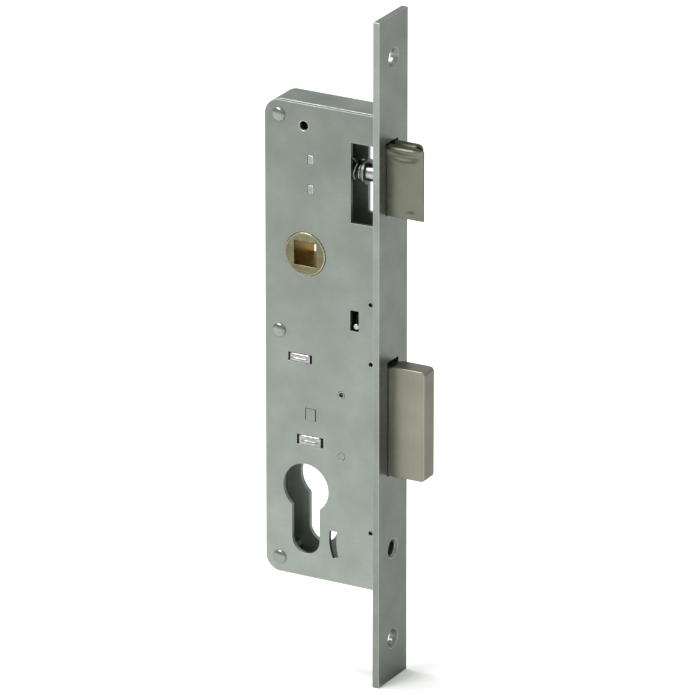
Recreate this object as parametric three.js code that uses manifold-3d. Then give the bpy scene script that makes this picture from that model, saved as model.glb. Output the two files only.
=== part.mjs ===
// Narrow-stile mortise lock for a Euro-profile cylinder: latch, follower and deadbolt in a pressed case.
// Units are millimetres. +X is the way the bolts point, -Y is the cover side, +Z is up the faceplate.
// Heights in this file are counted from the middle of the faceplate. The finished group is lowered so
// that the origin lies on the bare back face of the faceplate, just above the case.
import * as THREE from 'three';
import { mergeVertices } from 'three/addons/utils/BufferGeometryUtils.js';
import Module from 'manifold-3d';

const wasm = await Module();
wasm.setup();

// ---- faceplate and case ----
const PLATE_LENGTH = 240;
const PLATE_WIDTH = 20;
const PLATE_THICK = 2.5;
const PLATE_SEAT = 0.1;            // shallow seat in the faceplate's back that takes the case's front edges
const SEAT_HEIGHT = 94;            // where the origin sits on the faceplate's back
const BACKSET = 30;                // faceplate front to the follower and cylinder axes
const CENTRES = 85;                // follower axis to cylinder axis
const CASE_DEPTH = 43;
const CASE_HEIGHT = 171;
const CASE_THICK = 14;
const SHEET = 1.5;
const CORNER = 5.5;
const GAP = 0.1;                   // air left between pieces that touch
const HALF = CASE_THICK / 2;
const INNER = HALF - SHEET;        // half the room between the two case sheets

const AXIS_X = PLATE_THICK - BACKSET;
const FOLLOWER_Z = 32;
const CYLINDER_Z = FOLLOWER_Z - CENTRES;

// ---- holes in the case ----
const EURO_R = 8.75;
const EURO_SLOT = 10.6;
const EURO_DROP = 24;              // cylinder axis to the lowest point of the hole
const WINDOW = { depth: 10, low: 46.3, high: 74.8 };
const SCREW_Z = 105;
const SCREW_R = 2.25;
const SINK_R = 3.5;
const FIXING_Z = -71.8;            // cylinder fixing screw
const FIXING_R = 2.6;
const STAKES = { x: -2.4, r: 0.8, heights: [18.1, -3.4, -64.8] };
const PEEP = { x: -28.1, z: 77.7, r: 1.5 };
const BRACKET = { left: -18.2, right: -15.4, high: -66.9, low: -76.8, bow: 0.8 };

// ---- latch ----
const LATCH_TIP = { near: 16.5, far: 12.6, nearR: 1, farR: 2.4 };    // the slanted front
const LATCH_Z = 63;
const LATCH_HEIGHT = 25;
const LATCH_NEAR = -5;
const LATCH_FAR = 3;
const LATCH_ROOT = -1.5;
const SHANK_R = 3.2;
const STEM_R = 2.4;
const COLLAR = { back: -7.9, front: -6.9, r: 4.4 };
const GUIDE = { back: -26.5, front: -24.3, low: 53.4, high: 72.6 };
const GUIDE_TENONS = { heights: [55.4, 66], half: 1.6 };
const YOKE = { back: -28.7, front: -26.7, low: 47.7, high: 70, half: 4 };
const YOKE_NECK_R = 1.6;           // end of the stem, riveted in the yoke
const LATCH_EDGE = 0.25;           // rounding along the latch's top and bottom
const LATCH_GROOVE_R = 0.55;
const LATCH_DIMPLE = { x: 11.7, below: 9.4, half: [1.6, 0.5, 0.55] };
const LATCH_COIL = { r: 3.4, wire: 0.5, turns: 4.5 };

// ---- follower ----
const HUB_R = 7.75;
const HUB_LENGTH = 14.6;
const SPINDLE = 8.2;
const SPINDLE_LIP = 0.45;          // flare at each mouth of the square hole
const RING_R = 9.3;
const CAM_THICK = 3;
const ARM_TIP = { x: -23.7, z: 50, r: 2.5 };
const ARM = { base: 4.2, neck: 1.8 };    // half its width at the ring and at the tip
const LUG = { reach: 12, angle: -19.5, r: 1.4, base: 2.4 };

// ---- deadbolt ----
const BOLT_OUT = 14;               // throw
const BOLT_LOW = -44;
const BOLT_HIGH = -4;
const BOLT_THICK = 7;
const NECK = { back: -9, low: -32, shoulder: -1 };
const BOLT_CORNER = 1.6;           // rounding of the bolt's two front corners
const TAIL = { back: -27.2, front: -1.6, low: -33.3, high: -8, thick: 3 };
const TALON_LOW = -41.5;
const TALONS = [-24.2, -10.7];     // centres of the two fingers the cylinder's cam drives
const TALON_WIDTH = 4;
const PIN_R = 1.5;
const PIN_HEIGHTS = { upper: -14, lower: -27 };
const PIN_X = -5;
const PIN_REACH = 3.4;

// ---- detent lever ----
const PIVOT = { x: -37.6, z: 2.8 };
const TOE = { x: -10, z: -6, r: 1.4 };
const TOE_RISE = 3.61;             // how far the toe climbs over the full throw
const TOE_SHIFT = 0.9;
const TOE_AIR = 0.2;
const LEVER_HALF = 1;              // half its thickness
const LEVER_EYE_R = 3.5;
const STUD = { x: -8.1, z: 9.2, r: 1 };
const STUD_SLOT = { x: -8.63, low: 7.5, high: 14.9, width: 3.2 };
const DETENT_COIL = { x: -20, low: 8.7, high: 18.3, r: 1.8, wire: 0.35, turns: 7 };

// ---- lift bar that the cylinder's cam pushes up to draw the latch ----
const BAR = { x: -13.7, width: 5.5, low: -46.5, high: 24, near: -5.3, far: -3.8 };
const BAR_TRAVEL = 2 * LUG.reach * Math.sin(THREE.MathUtils.degToRad(-LUG.angle));
const BAR_STUDS = { upper: -16.5, lower: -38.9 };
const BAR_STUD_R = 1.3;
const BAR_STUD_EYE = { r: 0.85, depth: 1.2 };    // the upper stud is a hollow rivet
const BAR_FOOT = 0.9;              // how far the bar's foot reaches towards the cylinder
const BAR_NOSE = 2.2;              // length and height of the block that the lug lifts against

// ---- fixed pieces between the sheets ----
const POSTS = { top: 80.3, middle: PIVOT.z, bottom: -80.2 };
const POST_R = 2.2;
const POST_NECK = 1.6;
const DOME_R = 2.5;
const DOME_RISE = 0.85;
const RAIL = { x: -29.6, z: -5.95, length: 8.9, height: 2.9 };
const PAD = { x: -25.8, z: -35.5, length: 10, height: 3.4 };
const STOP = { x: -25.6, z: -25.9, length: 4, height: 4.3 };
const ANCHOR = { x: DETENT_COIL.x, z: 19.5, length: 4, height: 2 };

const zinc = new THREE.MeshStandardMaterial({ color: 0x98a299, roughness: 0.42, metalness: 0.9 });
const plateZinc = new THREE.MeshStandardMaterial({ color: 0x8c9489, roughness: 0.38, metalness: 0.9 });
const nickel = new THREE.MeshStandardMaterial({ color: 0xa39e88, roughness: 0.3, metalness: 1 });
const brass = new THREE.MeshStandardMaterial({ color: 0xa88f52, roughness: 0.35, metalness: 1 });
const steel = new THREE.MeshStandardMaterial({ color: 0x7c7f7a, roughness: 0.45, metalness: 0.9 });
const wire = new THREE.MeshStandardMaterial({ color: 0x9aa0a0, roughness: 0.3, metalness: 1 });

const lock = new THREE.Group();
lock.position.z = -SEAT_HEIGHT;

function addPiece(name, geometry, material) {
  const mesh = new THREE.Mesh(geometry, material);
  mesh.name = name;
  lock.add(mesh);
}

// ---------------------------------------------------------------- solids
function solid(geometry) {
  const bare = geometry.clone();
  bare.deleteAttribute('normal');
  bare.deleteAttribute('uv');
  const merged = mergeVertices(bare, 1e-4);
  return new wasm.Manifold(new wasm.Mesh({
    numProp: 3,
    vertProperties: new Float32Array(merged.attributes.position.array),
    triVerts: new Uint32Array(merged.index.array),
  }));
}

function geometryOf(manifold) {
  const mesh = manifold.getMesh();
  const geometry = new THREE.BufferGeometry();
  geometry.setAttribute('position', new THREE.BufferAttribute(new Float32Array(mesh.vertProperties), 3));
  geometry.setIndex(new THREE.BufferAttribute(new Uint32Array(mesh.triVerts), 1));
  geometry.computeVertexNormals();
  return geometry;
}

function join(...pieces) {
  return pieces.reduce((whole, piece) => whole.add(piece));
}

function cut(body, ...tools) {
  return tools.reduce((rest, tool) => rest.subtract(tool), body);
}

// A flat outline drawn in X and Z, standing from y = near to y = far.
function upright(shape, near, far, segments = 8) {
  const geometry = new THREE.ExtrudeGeometry(shape, {
    depth: far - near,
    bevelEnabled: false,
    curveSegments: segments,
  });
  geometry.rotateX(Math.PI / 2);
  geometry.translate(0, far, 0);
  return solid(geometry);
}

// A block given by its lowest and highest X, Y and Z.
function block(x, y, z) {
  const geometry = new THREE.BoxGeometry(x[1] - x[0], y[1] - y[0], z[1] - z[0]);
  geometry.translate((x[0] + x[1]) / 2, (y[0] + y[1]) / 2, (z[0] + z[1]) / 2);
  return solid(geometry);
}

function rod(x, z, r, near, far, sides = 24) {
  const geometry = new THREE.CylinderGeometry(r, r, far - near, sides);
  geometry.translate(x, (near + far) / 2, z);
  return solid(geometry);
}

// A turned piece: its profile is [radius, distance] pairs, along Y or along X.
function turned(profile, sides, alongX) {
  const geometry = new THREE.LatheGeometry(profile.map(([r, d]) => new THREE.Vector2(r, d)), sides);
  if (alongX) {
    geometry.rotateZ(-Math.PI / 2);
  }
  return geometry;
}

function rectangle(x0, x1, z0, z1) {
  const shape = new THREE.Shape();
  shape.moveTo(x0, z0);
  shape.lineTo(x1, z0);
  shape.lineTo(x1, z1);
  shape.lineTo(x0, z1);
  shape.closePath();
  return shape;
}

function polygon(points) {
  return new THREE.Shape(points.map(([x, z]) => new THREE.Vector2(x, z)));
}

// Air round a tenon of the given size.
function tenonHole(piece, near, far) {
  return upright(rectangle(
    piece.x - piece.length / 2 - GAP,
    piece.x + piece.length / 2 + GAP,
    piece.z - piece.height / 2 - GAP,
    piece.z + piece.height / 2 + GAP,
  ), near, far);
}

// The case outline: round corners at the rear, square ones at the faceplate.
function caseOutline(inset, front) {
  const back = -CASE_DEPTH + inset;
  const low = -CASE_HEIGHT / 2 + inset;
  const high = CASE_HEIGHT / 2 - inset;
  const r = CORNER - inset;
  const shape = new THREE.Shape();
  shape.moveTo(front, low);
  shape.lineTo(front, high);
  shape.lineTo(back + r, high);
  shape.absarc(back + r, high - r, r, Math.PI / 2, Math.PI);
  shape.lineTo(back, low + r);
  shape.absarc(back + r, low + r, r, Math.PI, Math.PI * 1.5);
  shape.closePath();
  return shape;
}

function euroOutline() {
  const half = EURO_SLOT / 2;
  const foot = CYLINDER_Z - EURO_DROP + half;
  const meet = Math.asin(half / EURO_R);
  const shape = new THREE.Shape();
  shape.absarc(AXIS_X, CYLINDER_Z, EURO_R, -Math.PI / 2 + meet, Math.PI * 1.5 - meet);
  shape.lineTo(AXIS_X - half, foot);
  shape.absarc(AXIS_X, foot, half, Math.PI, Math.PI * 2);
  shape.closePath();
  return shape;
}

// A curved slot, like a bracket standing beside the cylinder hole.
function bracketSlot() {
  const { left, right, high, low, bow } = BRACKET;
  const middle = (high + low) / 2;
  const lean = 1.2;
  const shape = new THREE.Shape();
  shape.moveTo(left, high);
  shape.lineTo(right, high);
  shape.quadraticCurveTo(right - bow, middle, right + lean / 2, low + lean / 2);
  shape.lineTo(left + lean, low);
  shape.quadraticCurveTo(left - bow, middle, left, high);
  return shape;
}

// ---------------------------------------------------------------- faceplate and case
// A countersunk screw hole through the faceplate.
function sunkHole(z, r, sinkR) {
  const depth = sinkR - r;
  const profile = [
    [0, -1], [r, -1], [r, PLATE_THICK - depth], [sinkR, PLATE_THICK],
    [sinkR, PLATE_THICK + 1], [0, PLATE_THICK + 1],
  ];
  const geometry = turned(profile, 28, true);
  geometry.translate(0, 0, z);
  return solid(geometry);
}

function faceplate() {
  const half = PLATE_WIDTH / 2;
  const through = [-1, PLATE_THICK + 1];
  const air = 0.3;
  const boltHalf = BOLT_THICK / 2 + air;
  const boltAirAbove = 1.1;
  const latchLow = LATCH_Z - LATCH_HEIGHT / 2;
  const latchHigh = LATCH_Z + LATCH_HEIGHT / 2;
  const seatHalf = CASE_HEIGHT / 2 + GAP;
  return cut(
    block([0, PLATE_THICK], [-half, half], [-PLATE_LENGTH / 2, PLATE_LENGTH / 2]),
    block([-1, PLATE_SEAT], [-HALF - GAP, HALF + GAP], [-seatHalf, seatHalf]),
    block(through, [LATCH_NEAR - air, LATCH_FAR + air], [latchLow - air, latchHigh + air]),
    block(through, [-boltHalf, boltHalf], [BOLT_LOW - air, BOLT_HIGH + boltAirAbove]),
    sunkHole(SCREW_Z, SCREW_R, SINK_R),
    sunkHole(-SCREW_Z, SCREW_R, SINK_R),
    sunkHole(FIXING_Z, FIXING_R, SINK_R),
  );
}

// Holes that both case sheets have.
function sharedHoles(near, far) {
  const posts = Object.values(POSTS).map((z) => rod(PIVOT.x, z, POST_NECK + GAP, near, far, 20));
  const guideTenons = GUIDE_TENONS.heights.map((z) => tenonHole({
    x: (GUIDE.back + GUIDE.front) / 2,
    z,
    length: GUIDE.front - GUIDE.back,
    height: GUIDE_TENONS.half * 2,
  }, near, far));
  return [
    rod(AXIS_X, FOLLOWER_Z, HUB_R + GAP, near, far, 40),
    upright(euroOutline(), near, far, 20),
    upright(rectangle(-WINDOW.depth, 2, WINDOW.low, WINDOW.high), near, far),
    ...[RAIL, PAD, STOP].map((piece) => tenonHole(piece, near, far)),
    ...guideTenons,
    ...posts,
  ];
}

// The far sheet with its top, rear and bottom walls folded towards the cover.
function caseBody() {
  const near = INNER - 1;
  const far = HALF + 1;
  const shell = cut(
    upright(caseOutline(0, 0), -INNER + GAP, HALF),
    upright(caseOutline(SHEET, 5), -INNER - 1, INNER),
  );
  return cut(shell, ...sharedHoles(near, far), tenonHole(ANCHOR, near, far));
}

function caseCover() {
  const near = -HALF - 1;
  const far = -INNER + 1;
  const stakes = STAKES.heights.map((z) => rod(STAKES.x, z, STAKES.r, near, far, 12));
  const studs = Object.values(BAR_STUDS).map((z) => rod(BAR.x, z, BAR_STUD_R + GAP, near, far, 20));
  const studSlot = upright(rectangle(
    STUD_SLOT.x - STUD_SLOT.width / 2, STUD_SLOT.x + STUD_SLOT.width / 2, STUD_SLOT.low, STUD_SLOT.high,
  ), near, far);
  return cut(
    upright(caseOutline(0, 0), -HALF, -INNER),
    ...sharedHoles(near, far),
    rod(PEEP.x, PEEP.z, PEEP.r, near, far, 20),
    upright(bracketSlot(), near, far, 6),
    studSlot,
    ...stakes,
    ...studs,
  );
}

// A shouldered post that ties the two sheets together, with a domed head outside each.
function casePost(z) {
  const head = HALF + GAP;
  const shoulder = INNER - GAP;
  const half = [[POST_R, shoulder], [POST_NECK, shoulder], [POST_NECK, head], [DOME_R, head],
    [DOME_R * 0.92, head + DOME_RISE * 0.41], [DOME_R * 0.55, head + DOME_RISE * 0.85],
    [0, head + DOME_RISE]];
  const mirrored = half.map(([r, y]) => [r, -y]).reverse();
  const geometry = turned([...mirrored, ...half], 20, false);
  geometry.translate(PIVOT.x, 0, z);
  return solid(geometry);
}

// A bar held by a tenon of its own size in each sheet it reaches.
function tenonBar(piece, near, far) {
  return block(
    [piece.x - piece.length / 2, piece.x + piece.length / 2],
    [near, far],
    [piece.z - piece.height / 2, piece.z + piece.height / 2],
  );
}

// A stud that guides the lift bar, hollow at its near end where an eye is given.
function barStud(z, eye) {
  const nearEnd = eye ? [[0, -HALF + eye.depth], [eye.r, -HALF + eye.depth], [eye.r, -HALF]] : [[0, -HALF]];
  const profile = [...nearEnd, [BAR_STUD_R, -HALF], [BAR_STUD_R, BAR.far + GAP], [0, BAR.far + GAP]];
  const geometry = turned(profile, 16, false);
  geometry.translate(BAR.x, 0, z);
  return solid(geometry);
}

// ---------------------------------------------------------------- latch
// The head seen from above: a flat near side, a slanted front and a well rounded far corner.
function latchPlan() {
  const { near, far, nearR, farR } = LATCH_TIP;
  const slant = Math.hypot(near - far, LATCH_FAR - LATCH_NEAR);
  const stepX = (far - near) / slant;
  const stepY = (LATCH_FAR - LATCH_NEAR) / slant;
  const plan = new THREE.Shape();
  plan.moveTo(LATCH_ROOT, LATCH_NEAR);
  plan.lineTo(near - nearR, LATCH_NEAR);
  plan.quadraticCurveTo(near, LATCH_NEAR, near + stepX * nearR, LATCH_NEAR + stepY * nearR);
  plan.lineTo(far - stepX * farR, LATCH_FAR - stepY * farR);
  plan.quadraticCurveTo(far, LATCH_FAR, far - farR, LATCH_FAR);
  plan.lineTo(LATCH_ROOT, LATCH_FAR);
  plan.closePath();
  return plan;
}

// The head is drawn up from its plan, with a groove along its top and a small dimple near its foot.
function latchHead() {
  const mid = (LATCH_NEAR + LATCH_FAR) / 2;
  const geometry = new THREE.ExtrudeGeometry(latchPlan(), {
    depth: LATCH_HEIGHT - 2 * LATCH_EDGE,
    bevelThickness: LATCH_EDGE,
    bevelSize: LATCH_EDGE,
    bevelOffset: -LATCH_EDGE,
    bevelSegments: 2,
    curveSegments: 8,
  });
  geometry.translate(0, 0, LATCH_Z - LATCH_HEIGHT / 2 + LATCH_EDGE);
  const groove = new THREE.CylinderGeometry(LATCH_GROOVE_R, LATCH_GROOVE_R, 2 * LATCH_HEIGHT, 12);
  groove.rotateZ(Math.PI / 2);
  groove.translate(0, mid, LATCH_Z + LATCH_HEIGHT / 2);
  const dimple = new THREE.SphereGeometry(1, 16, 10);
  dimple.scale(...LATCH_DIMPLE.half);
  dimple.translate(LATCH_DIMPLE.x, LATCH_NEAR, LATCH_Z - LATCH_DIMPLE.below);
  return cut(solid(geometry), solid(groove), solid(dimple));
}

// The round stem: thick behind the head, stepped down for the collar, spring, guide and yoke.
function latchShank() {
  const profile = [
    [0, YOKE.back], [YOKE_NECK_R, YOKE.back], [YOKE_NECK_R, YOKE.front + GAP], [STEM_R, YOKE.front + GAP],
    [STEM_R, COLLAR.front + GAP], [SHANK_R, COLLAR.front + GAP], [SHANK_R, LATCH_ROOT - GAP],
    [0, LATCH_ROOT - GAP],
  ];
  const geometry = turned(profile, 28, true);
  geometry.translate(0, 0, LATCH_Z);
  return solid(geometry);
}

function latchCollar() {
  const hole = STEM_R + GAP;
  const geometry = turned([
    [hole, COLLAR.back], [COLLAR.r, COLLAR.back], [COLLAR.r, COLLAR.front], [hole, COLLAR.front],
    [hole, COLLAR.back],
  ], 28, true);
  geometry.translate(0, 0, LATCH_Z);
  return solid(geometry);
}

// Boring tool along X for the stem.
function stemBore(r) {
  const geometry = turned([[0, -50], [r, -50], [r, 10], [0, 10]], 28, true);
  geometry.translate(0, 0, LATCH_Z);
  return solid(geometry);
}

function latchGuide() {
  const x = [GUIDE.back, GUIDE.front];
  const plate = block(x, [-INNER + GAP, INNER - GAP], [GUIDE.low, GUIDE.high]);
  const { heights, half } = GUIDE_TENONS;
  const tenons = heights.map((z) => block(x, [-HALF, HALF], [z - half, z + half]));
  return cut(join(plate, ...tenons), stemBore(STEM_R + 0.15));
}

function latchYoke() {
  const plate = block([YOKE.back, YOKE.front], [-YOKE.half, YOKE.half], [YOKE.low, YOKE.high]);
  return cut(plate, stemBore(YOKE_NECK_R + GAP));
}

// ---------------------------------------------------------------- springs
class HelixCurve extends THREE.Curve {
  constructor(radius, length, turns) {
    super();
    this.radius = radius;
    this.length = length;
    this.turns = turns;
  }

  getPoint(t, target = new THREE.Vector3()) {
    const angle = t * this.turns * Math.PI * 2;
    return target.set(this.radius * Math.cos(angle), this.radius * Math.sin(angle), this.length * t);
  }
}

// A coil along +Z that starts at the origin.
function coil({ r, wire: wireR, turns }, length) {
  const path = new HelixCurve(r, length - 2 * wireR, turns);
  const section = new THREE.Shape();
  section.absarc(0, 0, wireR, 0, Math.PI * 2);
  const geometry = new THREE.ExtrudeGeometry(section, {
    steps: Math.round(turns * 14),
    extrudePath: path,
    curveSegments: 3,
  });
  geometry.translate(0, 0, wireR);
  return geometry;
}

function latchSpring() {
  const front = COLLAR.back - 0.2;
  const back = GUIDE.front + 0.2;
  const geometry = coil(LATCH_COIL, front - back);
  geometry.rotateY(Math.PI / 2);
  geometry.translate(back, 0, LATCH_Z);
  return solid(geometry);
}

function detentSpring() {
  const geometry = coil(DETENT_COIL, DETENT_COIL.high - DETENT_COIL.low);
  geometry.translate(DETENT_COIL.x, 0, DETENT_COIL.low);
  return solid(geometry);
}

// ---------------------------------------------------------------- follower
function followerHub() {
  const square = SPINDLE / 2;
  const reach = HUB_LENGTH / 2;
  const lip = SPINDLE_LIP;
  const body = rod(AXIS_X, FOLLOWER_Z, HUB_R, -reach, reach, 40);
  const hole = block(
    [AXIS_X - square, AXIS_X + square],
    [-reach - 1, reach + 1],
    [FOLLOWER_Z - square, FOLLOWER_Z + square],
  );
  const mouths = [-1, 1].map((side) => {
    const wide = (square + lip * 2) * Math.SQRT2;
    const geometry = new THREE.CylinderGeometry(wide, square * Math.SQRT2, lip * 2, 4);
    geometry.rotateY(Math.PI / 4);
    if (side < 0) {
      geometry.rotateX(Math.PI);
    }
    geometry.translate(AXIS_X, side * reach, FOLLOWER_Z);
    return solid(geometry);
  });
  return cut(body, hole, ...mouths);
}

// The steel cam pressed on the hub: an arm up to the yoke and a lug for the lift bar.
function followerCam() {
  const near = -CAM_THICK / 2;
  const far = CAM_THICK / 2;
  const lean = Math.atan2(ARM_TIP.x - AXIS_X, ARM_TIP.z - FOLLOWER_Z);
  const across = (r, side) => [side * r * Math.cos(lean), -side * r * Math.sin(lean)];
  const edge = (x, z, r, side) => {
    const [dx, dz] = across(r, side);
    return [x + dx, z + dz];
  };
  const arm = polygon([
    edge(AXIS_X, FOLLOWER_Z, ARM.base, 1),
    edge(ARM_TIP.x, ARM_TIP.z, ARM.neck, 1),
    edge(ARM_TIP.x, ARM_TIP.z, ARM.neck, -1),
    edge(AXIS_X, FOLLOWER_Z, ARM.base, -1),
  ]);
  const turn = THREE.MathUtils.degToRad(LUG.angle);
  const lugX = AXIS_X + LUG.reach * Math.cos(turn);
  const lugZ = FOLLOWER_Z + LUG.reach * Math.sin(turn);
  const [sx, sz] = [-Math.sin(turn), Math.cos(turn)];
  const lug = polygon([
    [AXIS_X - sx * LUG.base, FOLLOWER_Z - sz * LUG.base],
    [lugX - sx * LUG.r, lugZ - sz * LUG.r],
    [lugX + sx * LUG.r, lugZ + sz * LUG.r],
    [AXIS_X + sx * LUG.base, FOLLOWER_Z + sz * LUG.base],
  ]);
  const whole = join(
    rod(AXIS_X, FOLLOWER_Z, RING_R, near, far, 40),
    upright(arm, near, far),
    rod(ARM_TIP.x, ARM_TIP.z, ARM_TIP.r, near, far, 20),
    upright(lug, near, far),
    rod(lugX, lugZ, LUG.r, near, far, 16),
  );
  return cut(whole, rod(AXIS_X, FOLLOWER_Z, HUB_R + GAP, near - 1, far + 1, 40));
}

// ---------------------------------------------------------------- lift bar
function liftBar() {
  const half = BAR.width / 2;
  const turn = THREE.MathUtils.degToRad(LUG.angle);
  const noseTop = FOLLOWER_Z + LUG.reach * Math.sin(turn) - LUG.r - 0.2;
  const noseX = AXIS_X + LUG.reach * Math.cos(turn);
  const strip = polygon([
    [BAR.x - half - BAR_FOOT, BAR.low],
    [BAR.x + half, BAR.low],
    [BAR.x + half, noseTop - 4],
    [BAR.x + half - 1.5, noseTop],
    [noseX, noseTop],
    [BAR.x - half, noseTop - 5],
    [BAR.x - half, BAR.low + 5],
    [BAR.x - half - BAR_FOOT, BAR.low + 3],
  ]);
  const noseFar = CAM_THICK / 2 - 0.2;
  const nose = block([noseX, noseX + BAR_NOSE], [BAR.near, noseFar], [noseTop - BAR_NOSE, noseTop]);
  const slots = Object.values(BAR_STUDS).map((z) => {
    const r = BAR_STUD_R + 0.15;
    return join(
      upright(rectangle(BAR.x - r, BAR.x + r, z - BAR_TRAVEL, z), BAR.near - 1, BAR.far + 1),
      rod(BAR.x, z, r, BAR.near - 1, BAR.far + 1, 16),
      rod(BAR.x, z - BAR_TRAVEL, r, BAR.near - 1, BAR.far + 1, 16),
    );
  });
  return cut(join(upright(strip, BAR.near, BAR.far), nose), ...slots);
}

// ---------------------------------------------------------------- deadbolt
// The line that the detent's toe rides on, in the thrown bolt's place.
function rampPoint(x) {
  const run = BOLT_OUT + TOE_SHIFT;
  const slope = TOE_RISE / run;
  const drop = (TOE.r + TOE_AIR) * Math.hypot(1, slope);
  return TOE.z - drop + (x - TOE.x) * slope;
}

function pinHoles(r) {
  return Object.values(PIN_HEIGHTS).map((z) => rod(PIN_X, z, r, -9, 9, 20));
}

function deadboltHead() {
  const front = PLATE_THICK + BOLT_OUT;
  const half = BOLT_THICK / 2;
  const slope = TOE_RISE / (BOLT_OUT + TOE_SHIFT);
  const crest = TOE.x + (BOLT_HIGH - rampPoint(TOE.x)) / slope;
  const r = BOLT_CORNER;
  const side = new THREE.Shape();
  side.moveTo(NECK.shoulder, BOLT_LOW);
  side.lineTo(front - r, BOLT_LOW);
  side.absarc(front - r, BOLT_LOW + r, r, -Math.PI / 2, 0);
  side.lineTo(front, BOLT_HIGH - r);
  side.absarc(front - r, BOLT_HIGH - r, r, 0, Math.PI / 2);
  side.lineTo(crest, BOLT_HIGH);
  side.lineTo(NECK.back, rampPoint(NECK.back));
  side.lineTo(NECK.back, NECK.low);
  side.lineTo(NECK.shoulder, NECK.low);
  side.closePath();
  const slot = block(
    [NECK.back - 1, TAIL.front + 0.2],
    [-TAIL.thick / 2 - GAP, TAIL.thick / 2 + GAP],
    [NECK.low - 1, TAIL.high + 2],
  );
  return cut(upright(side, -half, half), slot, ...pinHoles(PIN_R + GAP));
}

// The tail plate is forked: its two prongs run above and below the fixed stop, which ends the bolt's
// way back, and the cylinder's cam drives the talons that hang from it.
function deadboltTail() {
  const near = -TAIL.thick / 2;
  const far = TAIL.thick / 2;
  const air = 0.25;
  const frontLow = NECK.low + 0.2;
  const outline = polygon([
    [TAIL.back, TAIL.low],
    [NECK.back, TAIL.low],
    [NECK.back, frontLow],
    [TAIL.front, frontLow],
    [TAIL.front, TAIL.high],
    [TAIL.back, TAIL.high],
  ]);
  const talons = TALONS.map((x) => upright(rectangle(
    x - TALON_WIDTH / 2, x + TALON_WIDTH / 2, TALON_LOW, TAIL.low + 1,
  ), near, far));
  const slot = upright(rectangle(
    TAIL.back - 1,
    STOP.x + STOP.length / 2 + BOLT_OUT + air,
    STOP.z - STOP.height / 2 - air,
    STOP.z + STOP.height / 2 + air,
  ), near - 1, far + 1);
  return cut(join(upright(outline, near, far), ...talons), slot, ...pinHoles(PIN_R + GAP));
}

// ---------------------------------------------------------------- detent
function detentLever() {
  const near = -LEVER_HALF;
  const far = LEVER_HALF;
  const outline = polygon([
    [PIVOT.x, PIVOT.z - 3],
    [-14, -0.6],
    [TOE.x - TOE.r, TOE.z],
    [TOE.x + TOE.r, TOE.z],
    [STUD.x + 2.6, STUD.z - 5],
    [STUD.x + 2.6, STUD.z + 2.2],
    [STUD.x - 3, STUD.z + 2.2],
    [DETENT_COIL.x + 3, DETENT_COIL.low - 0.2],
    [DETENT_COIL.x - 3, DETENT_COIL.low - 0.2],
    [PIVOT.x, PIVOT.z + 3],
  ]);
  const whole = join(
    upright(outline, near, far),
    rod(TOE.x, TOE.z, TOE.r, near, far, 20),
    rod(PIVOT.x, PIVOT.z, LEVER_EYE_R, near, far, 24),
  );
  return cut(
    whole,
    rod(PIVOT.x, PIVOT.z, POST_R + 0.08, near - 1, far + 1, 20),
    rod(STUD.x, STUD.z, STUD.r + GAP, near - 1, far + 1, 16),
  );
}

// ---------------------------------------------------------------- the assembly
addPiece('faceplate', geometryOf(faceplate()), plateZinc);
addPiece('case_body', geometryOf(caseBody()), zinc);
addPiece('case_cover', geometryOf(caseCover()), zinc);
for (const [place, z] of Object.entries(POSTS)) {
  addPiece(`case_post_${place}`, geometryOf(casePost(z)), zinc);
}
addPiece('bolt_rail', geometryOf(tenonBar(RAIL, -HALF, HALF)), steel);
addPiece('bolt_stop', geometryOf(tenonBar(STOP, -HALF, HALF)), steel);
addPiece('bolt_pad_near', geometryOf(tenonBar(PAD, -HALF, -TAIL.thick / 2 - 0.2)), steel);
addPiece('bolt_pad_far', geometryOf(tenonBar(PAD, TAIL.thick / 2 + 0.2, HALF)), steel);
addPiece('spring_anchor', geometryOf(tenonBar(ANCHOR, -2.4, HALF)), steel);
for (const [place, z] of Object.entries(BAR_STUDS)) {
  const eye = place === 'upper' ? BAR_STUD_EYE : null;
  addPiece(`bar_stud_${place}`, geometryOf(barStud(z, eye)), steel);
}
addPiece('latch_guide', geometryOf(latchGuide()), steel);

addPiece('latch_head', geometryOf(latchHead()), nickel);
addPiece('latch_shank', geometryOf(latchShank()), nickel);
addPiece('latch_collar', geometryOf(latchCollar()), steel);
addPiece('latch_yoke', geometryOf(latchYoke()), steel);
addPiece('latch_spring', geometryOf(latchSpring()), wire);

addPiece('follower_hub', geometryOf(followerHub()), brass);
addPiece('follower_cam', geometryOf(followerCam()), steel);
addPiece('lift_bar', geometryOf(liftBar()), steel);

addPiece('deadbolt_head', geometryOf(deadboltHead()), nickel);
addPiece('deadbolt_tail', geometryOf(deadboltTail()), steel);
for (const [place, z] of Object.entries(PIN_HEIGHTS)) {
  addPiece(`deadbolt_pin_${place}`, geometryOf(rod(PIN_X, z, PIN_R, -PIN_REACH, PIN_REACH, 20)), steel);
}

addPiece('detent_lever', geometryOf(detentLever()), steel);
addPiece('detent_stud', geometryOf(rod(STUD.x, STUD.z, STUD.r, -HALF + 0.2, 2.2, 16)), steel);
addPiece('detent_spring', geometryOf(detentSpring()), wire);

export default lock;
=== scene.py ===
"""A narrow-stile mortise lock: zinc-plated case and faceplate, nickel latch and bolt, brass follower.

Lengths are metres. The faceplate stands upright, the bolts point to +X and the case cover faces -Y.
"""
import math

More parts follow.
